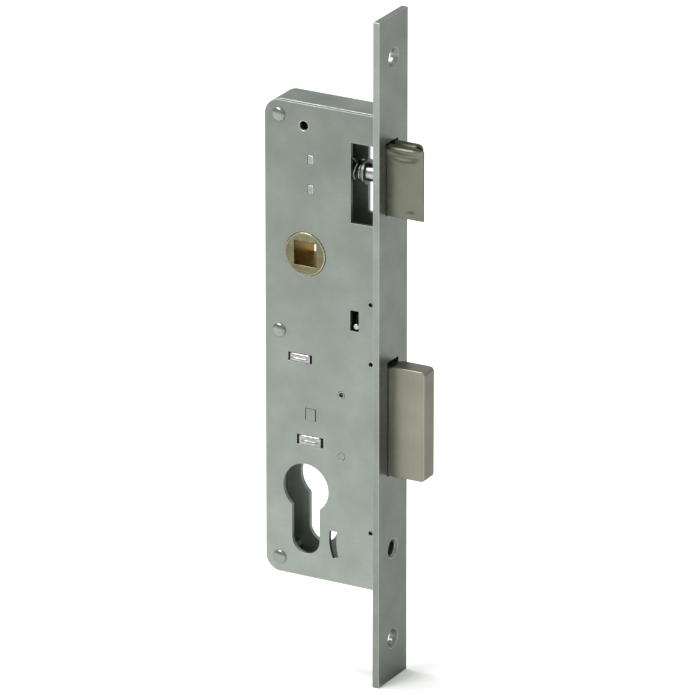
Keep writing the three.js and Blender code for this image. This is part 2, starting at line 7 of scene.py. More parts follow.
import bmesh
import bpy
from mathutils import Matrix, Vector


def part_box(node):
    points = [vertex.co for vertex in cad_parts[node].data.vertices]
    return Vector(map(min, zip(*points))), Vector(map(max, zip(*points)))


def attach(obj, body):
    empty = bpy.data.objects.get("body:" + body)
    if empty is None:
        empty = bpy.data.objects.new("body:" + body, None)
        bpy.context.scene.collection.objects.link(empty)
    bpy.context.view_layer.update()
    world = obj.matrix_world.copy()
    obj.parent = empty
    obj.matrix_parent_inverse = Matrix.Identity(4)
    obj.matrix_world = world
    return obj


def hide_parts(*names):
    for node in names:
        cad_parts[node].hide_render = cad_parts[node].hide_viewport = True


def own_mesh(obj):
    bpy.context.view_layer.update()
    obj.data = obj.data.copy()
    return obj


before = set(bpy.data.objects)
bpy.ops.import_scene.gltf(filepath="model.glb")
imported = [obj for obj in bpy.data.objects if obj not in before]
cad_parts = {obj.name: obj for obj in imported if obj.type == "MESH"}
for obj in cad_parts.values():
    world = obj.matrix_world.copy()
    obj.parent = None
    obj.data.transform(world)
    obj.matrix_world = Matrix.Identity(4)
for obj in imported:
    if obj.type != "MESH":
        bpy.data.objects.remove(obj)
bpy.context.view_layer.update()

MM = 0.001
PLATE_LOW, PLATE_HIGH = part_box("faceplate")
MIDDLE_Y = 0.0                                # the middle plane of the case, halfway through its thickness
MIDDLE_Z = (PLATE_LOW.z + PLATE_HIGH.z) / 2   # halfway up the faceplate

VIEW_ROUND = math.radians(28.76)              # from the cover's front towards the bolts
VIEW_UP = math.radians(21.08)
VIEW_DISTANCE = 3.0
VIEW_LENS = 457.092                           # millimetres, on a 36 mm sensor


# ------------------------------------------------------------------ node trees
class Nodes:
    """A node tree with short ways to add to it."""

    def __init__(self, tree):
        self.tree = tree

    def add(self, kind, **settings):
        node = self.tree.nodes.new(kind)
        for key, value in settings.items():
            setattr(node, key, value)
        return node

    def link(self, source, target):
        self.tree.links.new(source, target)

    def feed(self, socket, value):
        """Sets a number on the socket, or links another node's output to it."""
        if isinstance(value, (int, float)):
            socket.default_value = value
        else:
            self.link(value, socket)

    def math(self, operation, a, b):
        node = self.add("ShaderNodeMath", operation=operation)
        for socket, value in zip(node.inputs, (a, b)):
            self.feed(socket, value)
        return node.outputs[0]


# ------------------------------------------------------------------ materials
class Graph(Nodes):
    """A new material's node tree."""

    def __init__(self, name):
        self.material = bpy.data.materials.new(name)
        self.material.use_nodes = True
        super().__init__(self.material.node_tree)
        self.tree.nodes.clear()

    def noise(self, coords, stretch, scale, detail):
        mapping = self.add("ShaderNodeMapping")
        mapping.inputs["Scale"].default_value = stretch
        self.link(coords, mapping.inputs["Vector"])
        node = self.add("ShaderNodeTexNoise")
        node.inputs["Scale"].default_value = scale
        node.inputs["Detail"].default_value = detail
        self.link(mapping.outputs[0], node.inputs["Vector"])
        return node.outputs["Fac"]

    def spread(self, value, low, high, start=0.3, end=0.7):
        node = self.add("ShaderNodeMapRange")
        node.inputs["From Min"].default_value = start
        node.inputs["From Max"].default_value = end
        node.inputs["To Min"].default_value = low
        node.inputs["To Max"].default_value = high
        self.link(value, node.inputs["Value"])
        return node.outputs["Result"]

    def shader(self, colour):
        """The surface shader, with its colour linked."""
        node = self.add("ShaderNodeBsdfPrincipled")
        self.link(colour, node.inputs["Base Color"])
        output = self.add("ShaderNodeOutputMaterial")
        self.link(node.outputs[0], output.inputs["Surface"])
        return node


CLOUD_SHARE = 0.55            # how much of a metal's tone each pattern makes
BRUSH_SHARE = 0.3
GRIT_SHARE = 0.15
GRIT_SCALE = 3.2              # grains per millimetre
TONE_ENDS = (0.36, 0.64)      # the pattern values of the darkest and the lightest tone
PAINTED_SHADE_SPAN = (-200.0, 20.0)    # heights in millimetres over which the painted shading runs
BUMP_DEPTH = 0.04 * MM
MIX_FIRST = 6                 # the colour sockets of a Mix node
MIX_SECOND = 7
MIX_RESULT = 2


def metal(name, shades, rough, grain=(0.05, 0.05, 2.4), relief=0.25, cloud=0.08, wear_and_glint_colour=None, height_shading=None):
    """A plated or machined metal: cloudy tone, brushed grain, fine grit and rounded edges painted brighter,
    partly wear and partly a painted highlight.

    shades are the dark, middle and light tones, rough the two ends of the roughness,
    grain the brushing's stretch per millimetre, height_shading a (low, high) gain along the height, painted
    shade and light."""
    g = Graph(name)
    coords = g.add("ShaderNodeTexCoord").outputs["Object"]
    millimetres = g.add("ShaderNodeVectorMath", operation="SCALE")
    millimetres.inputs["Scale"].default_value = 1000.0
    g.link(coords, millimetres.inputs[0])
    space = millimetres.outputs["Vector"]
    clouds = g.noise(space, (1, 1, 1), cloud, 4.0)
    brushed = g.noise(space, grain, 1.0, 3.0)
    grit = g.noise(space, (1, 1, 1), GRIT_SCALE, 2.0)
    tone = g.math("ADD", g.math("MULTIPLY", clouds, CLOUD_SHARE), g.math("MULTIPLY", brushed, BRUSH_SHARE))
    tone = g.math("ADD", tone, g.math("MULTIPLY", grit, GRIT_SHARE))
    ramp = g.add("ShaderNodeValToRGB")
    stops = ramp.color_ramp.elements
    stops[0].position = TONE_ENDS[0]
    stops[0].color = (*shades[0], 1)
    stops[1].position = TONE_ENDS[1]
    stops[1].color = (*shades[2], 1)
    middle = stops.new(0.5)
    middle.color = (*shades[1], 1)
    g.link(tone, ramp.inputs["Fac"])
    colour = ramp.outputs["Color"]
    # Painted shade and light: the colour is scaled from one gain at the bottom to another at the top,
    # standing in for how the lamps fall.
    if height_shading:
        height = g.add("ShaderNodeSeparateXYZ")
        g.link(space, height.inputs[0])
        gain = g.spread(height.outputs["Z"], height_shading[0], height_shading[1], *PAINTED_SHADE_SPAN)
        scaled = g.add("ShaderNodeVectorMath", operation="SCALE")
        g.link(colour, scaled.inputs[0])
        g.link(gain, scaled.inputs["Scale"])
        colour = scaled.outputs["Vector"]
    # The rounded arrises and bends are painted towards the edge colour: partly wear, partly a painted
    # highlight.
    wear_and_glint = g.add("ShaderNodeAttribute", attribute_name="wear_and_glint").outputs["Fac"]
    rubbed_and_glint = g.math("MULTIPLY", wear_and_glint, g.spread(grit, 0.35, 1.0))
    mix = g.add("ShaderNodeMix", data_type="RGBA")
    mix.inputs[MIX_SECOND].default_value = (*(wear_and_glint_colour or shades[2]), 1)
    g.link(rubbed_and_glint, mix.inputs["Factor"])
    g.link(colour, mix.inputs[MIX_FIRST])
    shader = g.shader(mix.outputs[MIX_RESULT])
    shader.inputs["Metallic"].default_value = 1.0
    gloss = g.math("SUBTRACT", g.spread(brushed, rough[0], rough[1]), g.math("MULTIPLY", rubbed_and_glint, 0.08))
    g.link(gloss, shader.inputs["Roughness"])
    bump = g.add("ShaderNodeBump")
    bump.inputs["Strength"].default_value = relief
    bump.inputs["Distance"].default_value = BUMP_DEPTH
    surface = g.math("ADD", g.math("MULTIPLY", brushed, 0.5), g.math("MULTIPLY", grit, 0.5))
    g.link(surface, bump.inputs["Height"])
    g.link(bump.outputs[0], shader.inputs["Normal"])
    return g.material


def grey(level, tint=(1.0, 1.0, 1.0)):
    """A grey of the level, coloured by the tint."""
    return tuple(level * t for t in tint)


GREEN = (0.94, 1.04, 0.93)    # the faint green of the zinc
OLIVE = (1.0, 1.02, 0.79)     # the warm tone of the nickel
STRAW = (1.04, 1.01, 0.83)    # a lighter, yellower nickel
# The cover is painted lighter at the bottom and darker at the top, a painted shade, and its rounded edges
# lighter: wear with a painted highlight.
COVER_ZINC = metal("cover_zinc", [grey(v, GREEN) for v in (0.225, 0.25, 0.285)], (0.42, 0.54),
                   wear_and_glint_colour=grey(0.42, GREEN), height_shading=(1.28, 0.78))
# The tray's bend and arrises are painted near white: a painted highlight along the bend, with some wear.
BODY_ZINC = metal("body_zinc", [grey(v, GREEN) for v in (0.22, 0.26, 0.31)], (0.34, 0.5),
                  wear_and_glint_colour=grey(0.85, GREEN))
# The tray's inside: the same zinc painted about twice as bright, painted light standing in for light that
# barely gets in.
PAINTED_LIGHT_ZINC = metal("inner_zinc", [grey(v, GREEN) for v in (0.5, 0.58, 0.66)], (0.5, 0.65))
# The faceplate is painted lighter towards its top, a painted light gradient, and its rounded edges lighter:
# wear with a painted highlight.
PLATE_ZINC = metal("plate_zinc", [grey(v, GREEN) for v in (0.2, 0.23, 0.265)], (0.3, 0.42),
                   wear_and_glint_colour=grey(0.42, GREEN), height_shading=(0.92, 1.2))
LATCH_NICKEL = metal("latch_nickel", [grey(v, OLIVE) for v in (0.135, 0.15, 0.17)], (0.32, 0.42),
                     grain=(0.3, 0.5, 0.5), relief=0.06, wear_and_glint_colour=grey(0.5, OLIVE))
BOLT_NICKEL = metal("bolt_nickel", [grey(v, STRAW) for v in (0.19, 0.215, 0.245)], (0.32, 0.42),
                    grain=(1.6, 1.6, 0.06), wear_and_glint_colour=grey(0.3, OLIVE))
# PEENED and DOME_ZINC paint their rounded edges pale: a painted highlight with some wear.
PEENED = metal("peened_zinc", [grey(v) for v in (0.22, 0.32, 0.46)], (0.2, 0.32), cloud=0.6, relief=0.5,
               wear_and_glint_colour=grey(0.85))
DOME_ZINC = metal("dome_zinc", [grey(v, GREEN) for v in (0.22, 0.26, 0.31)], (0.2, 0.3), cloud=0.6,
                  wear_and_glint_colour=grey(0.6))
STEEL = metal("bare_steel", [grey(v, GREEN) for v in (0.2, 0.26, 0.33)], (0.38, 0.55), cloud=0.2,
              relief=0.4, wear_and_glint_colour=grey(0.5))
WIRE = metal("spring_wire", [grey(v) for v in (0.28, 0.36, 0.45)], (0.2, 0.3), cloud=0.4, wear_and_glint_colour=grey(0.6))
BRASS = metal("machined_brass", [(0.115, 0.105, 0.06), (0.15, 0.14, 0.085), (0.2, 0.19, 0.12)], (0.26, 0.38),
              grain=(1.2, 0.1, 1.2), cloud=0.3, wear_and_glint_colour=(0.5, 0.48, 0.34))
BROACHED = metal("broached_brass", [(0.17, 0.105, 0.012), (0.24, 0.15, 0.02), (0.32, 0.22, 0.04)],
                 (0.24, 0.36), grain=(1.2, 0.1, 1.2), cloud=0.3, wear_and_glint_colour=(0.5, 0.44, 0.26))


# ------------------------------------------------------------------ mesh work
OWN_WEIGHT = 1e-12            # keeps a direction where every face at a corner has no area
SAME_POINT = 0.002 * MM
FLAT_ANGLE = math.radians(0.4)


def even_normals(mesh, angle):
    """Shades each corner by the faces that turn less than the angle there, the large ones counting most."""
    limit = math.cos(math.radians(angle))
    faces = mesh.polygons
    around = [[] for _ in mesh.vertices]
    for face in faces:
        for corner in face.vertices:
            around[corner].append(face.index)
    turns = [(face.normal.copy(), face.area) for face in faces]
    normals = [None] * len(mesh.loops)
    for face in faces:
        own = turns[face.index][0]
        for corner in face.loop_indices:
            total = own * OWN_WEIGHT
            for other in around[mesh.loops[corner].vertex_index]:
                normal, area = turns[other]
                if normal.dot(own) > limit:
                    total = total + normal * area
            normals[corner] = total.normalized()
    mesh.normals_split_custom_set(normals)


def finish_piece(piece, body, nodes, smooth=50):
    """Shades the piece and says what it rides on and stands for."""
    piece.data.shade_smooth()
    even_normals(piece.data, smooth)
    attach(piece, body)
    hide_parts(*nodes)
    return piece


def new_piece(name, bm, material):
    """Turns the working mesh into an object of one material."""
    mesh = bpy.data.meshes.new(name)
    bm.to_mesh(mesh)
    bm.free()
    mesh.materials.clear()
    mesh.materials.append(material)
    piece = bpy.data.objects.new(name, mesh)
    bpy.context.scene.collection.objects.link(piece)
    return piece


def clean_copy(node):
    """The designed solid with its flat faces merged back into whole faces."""
    bm = bmesh.new()
    bm.from_mesh(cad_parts[node].data)
    bmesh.ops.remove_doubles(bm, verts=bm.verts, dist=SAME_POINT)
    bmesh.ops.dissolve_limit(bm, angle_limit=FLAT_ANGLE, verts=bm.verts, edges=bm.edges)
    bm.normal_update()
    return bm


def sharp_edges(bm, angle):
    """The outward edges whose faces turn more than the angle."""
    limit = math.radians(angle)
    return [e for e in bm.edges
            if len(e.link_faces) == 2 and e.is_convex and e.calc_face_angle(0.0) > limit]


def round_over(bm, edges, width, segments):
    """Rounds the edges and marks the new faces for the edge colour: wear with a painted highlight."""
    wear_and_glint = bm.faces.layers.float.get("wear_and_glint") or bm.faces.layers.float.new("wear_and_glint")
    made = bmesh.ops.bevel(bm, geom=edges, offset=width, offset_type="OFFSET", segments=segments,
                           profile=0.5, affect="EDGES", clamp_overlap=False)
    for face in made["faces"]:
        face[wear_and_glint] = 1.0
    bm.normal_update()


def pressing(node, body, material, width=0.12, first=None, angle=40, crisp=None):
    """A stamped or machined piece: the designed solid with its arrises rounded, except the crisp ones.

    width is the rounding in millimetres, first a step of mesh work that comes before it."""
    bm = clean_copy(node)
    if first:
        first(bm)
    arrises = [e for e in sharp_edges(bm, angle) if not (crisp and crisp(e))]
    round_over(bm, arrises, width * MM, 2)
    piece = new_piece(node + "_made", bm, material)
    return finish_piece(piece, body, [node])


def loft(bm, rings):
    """Skins closed rings of equal count and closes both ends with a fan."""
    rows = [[bm.verts.new(p) for p in ring] for ring in rings]
    for low, high in zip(rows, rows[1:]):
        for i, start in enumerate(low):
            after = (i + 1) % len(low)
            bm.faces.new((start, low[after], high[after], high[i]))
    for row, flip in ((rows[0], True), (rows[-1], False)):
        middle = bm.verts.new(sum((v.co for v in row), Vector()) / len(row))
        for i, start in enumerate(row):
            after = row[(i + 1) % len(row)]
            bm.faces.new((after, start, middle) if flip else (start, after, middle))
    face_outwards(bm)


def face_outwards(bm):
    """Turns every face out, whichever way round the closed mesh was skinned."""
    bmesh.ops.recalc_face_normals(bm, faces=bm.faces)
    if bm.calc_volume(signed=True) < 0:
        bmesh.ops.reverse_faces(bm, faces=bm.faces)


# ------------------------------------------------------------------ case and faceplate
BEND_RADIUS = 1.1 * MM
CORNER_REACH = 5.6 * MM       # how far the rear corners' round stretches come forward
WALL_REACH = 2.5 * MM         # a little more than the thickness of the rear wall
CAP_REACH = 2.0 * MM          # the same for the top and bottom walls
PUNCH_PLACE = (14.9 * MM, 7.8 * MM)    # the small top hole, from the cover's rear and top edges
PUNCH_REACH = 1.7 * MM
PUNCH_DRAW = 0.55 * MM


def fold_far_edges(bm):
    """The tray's walls are folded from the far sheet, so its outer edge is a bend."""
    low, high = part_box("case_body")
    far = high.y - 0.05 * MM
    edge = 0.1 * MM

    def near_outline(vert):
        rear = vert.co.x < low.x + CORNER_REACH
        return rear or vert.co.z > high.z - edge or vert.co.z < low.z + edge

    def on_outer_wall(bend):
        """True where the edge lies on the tray's outer wall and not at a hole."""
        middles = [f.calc_center_median() for f in bend.link_faces if abs(f.normal.y) < 0.1]
        return any(m.x < low.x + WALL_REACH or m.z > high.z - CAP_REACH or m.z < low.z + CAP_REACH
                   for m in middles)

    def at_front(bend):
        return all(v.co.x > high.x - 0.2 * MM for v in bend.verts)

    bends = [e for e in sharp_edges(bm, 60)
             if all(v.co.y > far and near_outline(v) for v in e.verts)
             and on_outer_wall(e) and not at_front(e)]
    # The bend's faces take the tray's pale edge colour, a painted highlight along the bend.
    round_over(bm, bends, BEND_RADIUS, 4)


def dish_top_hole(bm):
    """The small hole near the cover's top is punched, so the sheet is drawn in round it."""
    low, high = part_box("case_cover")
    hole = Vector((low.x + PUNCH_PLACE[0], low.y, high.z - PUNCH_PLACE[1]))
    rim = [e for e in sharp_edges(bm, 60) if all((v.co - hole).length < PUNCH_REACH for v in e.verts)]
    # The drawn rim takes the cover's lighter edge colour, a painted highlight with some wear.
    round_over(bm, rim, PUNCH_DRAW, 4)


def on_plate_back(edge):
    """True for the holes' rims and the seat on the faceplate's back, but not for its outline."""
    middle = (edge.verts[0].co + edge.verts[1].co) / 2
    margin = 0.5 * MM
    inside_y = PLATE_LOW.y + margin < middle.y < PLATE_HIGH.y - margin
    inside_z = PLATE_LOW.z + margin < middle.z < PLATE_HIGH.z - margin
    return middle.x < 0.3 * MM and inside_y and inside_z


def case_sheets():
    """The tray with its inside painted brighter as painted light, the cover and the faceplate."""
    body = pressing("case_body", "case", BODY_ZINC, 0.1, fold_far_edges)
    body.data.materials.append(PAINTED_LIGHT_ZINC)
    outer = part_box("case_body")[1].y
    # The far sheet's inside faces take the zinc painted brighter, painted light for the dim inside.
    for face in body.data.polygons:
        if face.normal.y < -0.9 and face.center.y > outer - 2 * MM:
            face.material_index = 1
    pressing("case_cover", "case", COVER_ZINC, 0.16, dish_top_hole)
    pressing("faceplate", "case", PLATE_ZINC, 0.22, crisp=on_plate_back)


CHISEL_WIDTH = 0.16           # of the bar's half height


def peened_bar(node, material, ends, bulge, chisel, short=0.0):
    """A bar whose tenons are hammered over: each named end swells, with a chisel line across it.

    bulge is the swell's height and short the trim off each side, in millimetres; chisel is the line's
    depth as a share of the swell."""
    low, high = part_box(node)
    centre = (low + high) / 2
    half_x = (high.x - low.x) / 2 - short * MM
    half_z = (high.z - low.z) / 2
    across, up = 18, 12
    bm = bmesh.new()

    def swell(u, v):
        edge = (1 - u ** 6) * (1 - v ** 4)
        groove = math.exp(-((v / CHISEL_WIDTH) ** 2)) * chisel * (1 - u ** 4)
        return max(0.0, edge) ** 0.5 * (1 - groove) * bulge * MM

    def sheet(y, side, swollen):
        rows = []
        for j in range(up + 1):
            v = -1 + 2 * j / up
            row = []
            for i in range(across + 1):
                u = -1 + 2 * i / across
                rise = swell(u, v) if swollen else 0.0
                row.append(bm.verts.new((centre.x + u * half_x, y + side * rise, centre.z + v * half_z)))
            rows.append(row)
        for a, b in zip(rows, rows[1:]):
            for i in range(across):
                bm.faces.new((a[i], a[i + 1], b[i + 1], b[i]))
        return rows

    near = sheet(low.y, -1, "near" in ends)
    far = sheet(high.y, 1, "far" in ends)

    def border(rows):
        right = [r[-1] for r in rows[1:-1]]
        left = [r[0] for r in rows[1:-1]]
        return rows[0] + right + rows[-1][::-1] + left[::-1]

    near_rim = border(near)
    far_rim = border(far)
    for i in range(len(near_rim)):
        k = (i + 1) % len(near_rim)
        bm.faces.new((near_rim[i], near_rim[k], far_rim[k], far_rim[i]))
    face_outwards(bm)
    piece = new_piece(node + "_made", bm, material)
    return finish_piece(piece, "case", [node], 40)


def case_bars():
    """The bars whose tenons show in the sheets."""
    peened_bar("bolt_rail", PEENED, ("near", "far"), bulge=0.35, chisel=0.85, short=0.65)
    peened_bar("bolt_pad_near", PEENED, ("near",), bulge=0.35, chisel=0.85, short=0.9)
    peened_bar("bolt_pad_far", PEENED, ("far",), bulge=0.35, chisel=0.85, short=0.9)
    peened_bar("bolt_stop", COVER_ZINC, ("near", "far"), bulge=0.04, chisel=0.0, short=0.2)
    peened_bar("spring_anchor", STEEL, ("far",), bulge=0.2, chisel=0.3)


# ------------------------------------------------------------------ Geometry Nodes
class Recipe(Nodes):
    """A Geometry Nodes tree with named inputs."""

    def __init__(self, name):
        super().__init__(bpy.data.node_groups.new(name, "GeometryNodeTree"))
        self.sockets = {}
        shape = self.tree.interface
        shape.new_socket(name="Geometry", in_out="INPUT", socket_type="NodeSocketGeometry")
        shape.new_socket(name="Geometry", in_out="OUTPUT", socket_type="NodeSocketGeometry")
        self.start = self.add("NodeGroupInput")
        self.end = self.add("NodeGroupOutput")

    def ask(self, name, kind="NodeSocketFloat"):
        """Adds a named input to the tree."""
        socket = self.tree.interface.new_socket(name=name, in_out="INPUT", socket_type=kind)
        self.sockets[name] = socket.identifier
        return self.start.outputs[name]

    def clamped(self, value, low, high):
        """How far the value has come from low to high, held between 0 and 1."""
        node = self.add("ShaderNodeMapRange")
        for name, source in (("Value", value), ("From Min", low), ("From Max", high)):
            self.feed(node.inputs[name], source)
        return node.outputs["Result"]

    def vector(self, x=0.0, y=0.0, z=0.0):
        node = self.add("ShaderNodeCombineXYZ")
        for socket, value in zip(node.inputs, (x, y, z)):
            self.feed(socket, value)
        return node.outputs[0]

    def close(self, geometry, material):
        """Ends the tree with real geometry of one material."""
        realize = self.add("GeometryNodeRealizeInstances")
        self.link(geometry, realize.inputs["Geometry"])
        paint = self.add("GeometryNodeSetMaterial")
        self.link(realize.outputs[0], paint.inputs["Geometry"])
        self.link(material, paint.inputs["Material"])
        self.link(paint.outputs[0], self.end.inputs["Geometry"])

    def bake(self, name, points, values, material):
        """Runs the tree on loose points and returns the finished mesh as a piece."""
        seed = bpy.data.meshes.new(name + "_points")
        seed.from_pydata([tuple(p) for p in points], [], [])
        holder = bpy.data.objects.new(name + "_holder", seed)
        bpy.context.scene.collection.objects.link(holder)
        modifier = holder.modifiers.new("recipe", "NODES")
        modifier.node_group = self.tree
        for key, value in values.items():
            modifier[self.sockets[key]] = value
        modifier[self.sockets["Material"]] = material
        graph = bpy.context.evaluated_depsgraph_get()
        mesh = bpy.data.meshes.new_from_object(holder.evaluated_get(graph))
        bpy.data.objects.remove(holder)
        mesh.name = name
        if not mesh.materials:
            mesh.materials.append(material)
        piece = bpy.data.objects.new(name, mesh)
        bpy.context.scene.collection.objects.link(piece)
        return piece


ROUND_SIDES = 48
FULL_TURN = 6.28
RANDOM_MOST = 3               # the upper-limit socket of a Random Value node that gives a number
NECK_IN_DOME = 0.4            # how far the neck runs into the dome, as a share of its rise


def post_recipe():
    """A shouldered post on every point: barrel, neck and a hammered dome at each end, turned at random."""
    r = Recipe("shouldered_post")
    barrel_r = r.ask("Barrel Radius")
    neck_r = r.ask("Neck Radius")
    dome_r = r.ask("Dome Radius")
    rise = r.ask("Dome Rise")
    inner = r.ask("Barrel Half Length")
    outer = r.ask("Dome Distance")
    material = r.ask("Material", "NodeSocketMaterial")
    whole = r.add("GeometryNodeMeshBoolean", operation="UNION", solver="EXACT")

    def cylinder(radius, half):
        shape = r.add("GeometryNodeMeshCylinder")
        shape.inputs["Vertices"].default_value = ROUND_SIDES
        r.link(radius, shape.inputs["Radius"])
        r.link(r.math("MULTIPLY", half, 2.0), shape.inputs["Depth"])
        r.link(shape.outputs["Mesh"], whole.inputs[1])

    def dome(side):
        ball = r.add("GeometryNodeMeshUVSphere")
        ball.inputs["Segments"].default_value = ROUND_SIDES
        ball.inputs["Rings"].default_value = ROUND_SIDES // 2
        ball.inputs["Radius"].default_value = 1.0
        flatten = r.add("GeometryNodeTransform")
        r.link(ball.outputs["Mesh"], flatten.inputs["Geometry"])
        r.link(r.vector(z=r.math("MULTIPLY", outer, side)), flatten.inputs["Translation"])
        r.link(r.vector(dome_r, dome_r, rise), flatten.inputs["Scale"])
        inside = r.add("GeometryNodeMeshCylinder")
        r.link(r.math("MULTIPLY", dome_r, 2.0), inside.inputs["Radius"])
        r.link(r.math("MULTIPLY", outer, 2.0), inside.inputs["Depth"])
        half = r.add("GeometryNodeMeshBoolean", operation="DIFFERENCE", solver="EXACT")
        r.link(flatten.outputs[0], half.inputs[0])
        r.link(inside.outputs["Mesh"], half.inputs[1])
        r.link(half.outputs[0], whole.inputs[1])

    cylinder(barrel_r, inner)
    cylinder(neck_r, r.math("ADD", outer, r.math("MULTIPLY", rise, NECK_IN_DOME)))
    for side in (-1.0, 1.0):
        dome(side)
    turn = r.add("GeometryNodeTransform")
    turn.inputs["Rotation"].default_value = (math.pi / 2, 0, 0)
    r.link(whole.outputs[0], turn.inputs["Geometry"])
    points = r.add("GeometryNodeMeshToPoints")
    r.link(r.start.outputs["Geometry"], points.inputs[0])
    spin = r.add("FunctionNodeRandomValue", data_type="FLOAT")
    spin.inputs[RANDOM_MOST].default_value = FULL_TURN
    spin.inputs["Seed"].default_value = 5
    place = r.add("GeometryNodeInstanceOnPoints")
    r.link(points.outputs[0], place.inputs["Points"])
    r.link(turn.outputs[0], place.inputs["Instance"])
    r.link(r.vector(y=spin.outputs[1]), place.inputs["Rotation"])
    r.close(place.outputs[0], material)
    return r


def case_posts():
    """The three posts that hold the sheets together, made as one piece."""
    nodes = ["case_post_top", "case_post_middle", "case_post_bottom"]
    places = []
    for node in nodes:
        low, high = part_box(node)
        places.append((low + high) / 2)
    sheet_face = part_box("case_cover")[0].y
    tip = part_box(nodes[0])[0].y
    values = {
        "Barrel Radius": 2.2 * MM,
        "Neck Radius": 1.6 * MM,
        "Dome Radius": 2.5 * MM,
        "Dome Rise": sheet_face - tip,
        "Barrel Half Length": 5.4 * MM,
        "Dome Distance": -sheet_face,
    }
    piece = post_recipe().bake("case_posts", places, values, DOME_ZINC)
    return finish_piece(piece, "case", nodes, 40)


CLOSED_PITCH = 2.08           # of the wire's radius, so that a closed turn nearly touches the next


def coil_recipe():
    """A compression spring up +Z from its point: open turns with a closed turn at each end."""
    r = Recipe("coil_spring")
    radius = r.ask("Coil Radius")
    wire = r.ask("Wire Radius")
    turns = r.ask("Turns")
    length = r.ask("Length")
    rotation = r.ask("Rotation", "NodeSocketVector")
    material = r.ask("Material", "NodeSocketMaterial")
    rise = r.math("SUBTRACT", length, r.math("MULTIPLY", wire, 2.0))
    pitch = r.math("MULTIPLY", wire, CLOSED_PITCH)
    spiral = r.add("GeometryNodeCurveSpiral")
    spiral.inputs["Resolution"].default_value = 40
    spiral.inputs["Height"].default_value = 0.0
    r.link(turns, spiral.inputs["Rotations"])
    r.link(radius, spiral.inputs["Start Radius"])
    r.link(radius, spiral.inputs["End Radius"])
    turn = r.math("MULTIPLY", r.add("GeometryNodeSplineParameter").outputs["Factor"], turns)
    first = r.clamped(turn, 0.0, 1.0)
    last = r.clamped(turn, r.math("SUBTRACT", turns, 1.0), turns)
    middle = r.clamped(turn, 1.0, r.math("SUBTRACT", turns, 1.0))
    closed = r.math("MULTIPLY", r.math("ADD", first, last), pitch)
    open_rise = r.math("SUBTRACT", rise, r.math("MULTIPLY", pitch, 2.0))
    height = r.math("ADD", closed, r.math("MULTIPLY", middle, open_rise))
    lines = r.add("GeometryNodeSetPosition")
    r.link(spiral.outputs[0], lines.inputs["Geometry"])
    r.link(r.vector(z=height), lines.inputs["Offset"])
    section = r.add("GeometryNodeCurvePrimitiveCircle")
    section.inputs["Resolution"].default_value = 14
    r.link(wire, section.inputs["Radius"])
    tube = r.add("GeometryNodeCurveToMesh")
    r.link(lines.outputs[0], tube.inputs["Curve"])
    r.link(section.outputs[0], tube.inputs["Profile Curve"])
    tube.inputs["Fill Caps"].default_value = True
    lift = r.add("GeometryNodeTransform")
    r.link(tube.outputs[0], lift.inputs["Geometry"])
    r.link(r.vector(z=wire), lift.inputs["Translation"])
    points = r.add("GeometryNodeMeshToPoints")
    r.link(r.start.outputs["Geometry"], points.inputs[0])
    place = r.add("GeometryNodeInstanceOnPoints")
    r.link(points.outputs[0], place.inputs["Points"])
    r.link(lift.outputs[0], place.inputs["Instance"])
    r.link(rotation, place.inputs["Rotation"])
    r.close(place.outputs[0], material)
    return r


def springs():
    """Both coils, riding on the latch and the detent lever."""
    recipe = coil_recipe()
    low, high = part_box("latch_spring")
    axis_z = (low.z + high.z) / 2
    length = high.x - low.x
    values = {"Coil Radius": 3.4 * MM, "Wire Radius": 0.5 * MM, "Turns": 4.5, "Length": length,
              "Rotation": (0.0, math.pi / 2, 0.0)}
    coil = recipe.bake("latch_coil", [(low.x, MIDDLE_Y, axis_z)], values, WIRE)
    finish_piece(coil, "latch", ["latch_spring"], 60)
    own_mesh(coil)
    low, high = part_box("detent_spring")
    axis_x = (low.x + high.x) / 2
    values = {"Coil Radius": 1.8 * MM, "Wire Radius": 0.35 * MM, "Turns": 7.0, "Length": high.z - low.z,
              "Rotation": (0.0, 0.0, 0.0)}
    coil = recipe.bake("detent_coil", [(axis_x, MIDDLE_Y, low.z)], values, WIRE)
    finish_piece(coil, "detent", ["detent_spring"], 60)
    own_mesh(coil)


# ------------------------------------------------------------------ latch
TIP_PROUD = 0.3 * MM          # the finished tip stands this far in front of the designed solid
TIP_EDGE = 0.12 * MM          # the tip's near arris is broken by this much
TIP_THICK = 0.7 * MM          # least thickness of the slanted front
SLANT_LENGTH = 4.1 * MM       # from the shoulder to the tip
BEND_LENGTH = 2.4 * MM        # the rounded corner starts this far behind the shoulder
BEND_WIDTH = 0.9 * MM
BEND_DEPTH = 0.75 * MM
FOOT_RADIUS = 0.3 * MM
NEAR_BEAD = 1.8 * MM
FAR_BEAD = 1.5 * MM
BEAD_STEP = 0.1 * MM          # the far bead is this much lower than the near one
NEAR_SKIN = 1.3 * MM          # the scoop and the dimple touch the near side to this depth
SCOOP_HALF = (6.2 * MM, 1.15 * MM)    # half length and half height
SCOOP_DEPTH = 0.75 * MM
SCOOP_BOW = 1.1 * MM          # its ends are this much higher than its middle
DIMPLE_HALF = (1.7 * MM, 0.55 * MM)
DIMPLE_DEPTH = 0.45 * MM


def arc(centre, radius, start, end, count):
    """Points of an arc as (y, z) pairs; angles in half turns, from +Y towards +Z."""
    points = []
    for i in range(count + 1):
        a = math.pi * (start + (end - start) * i / count)
        points.append((centre[0] + radius * math.cos(a), centre[1] + radius * math.sin(a)))
    return points


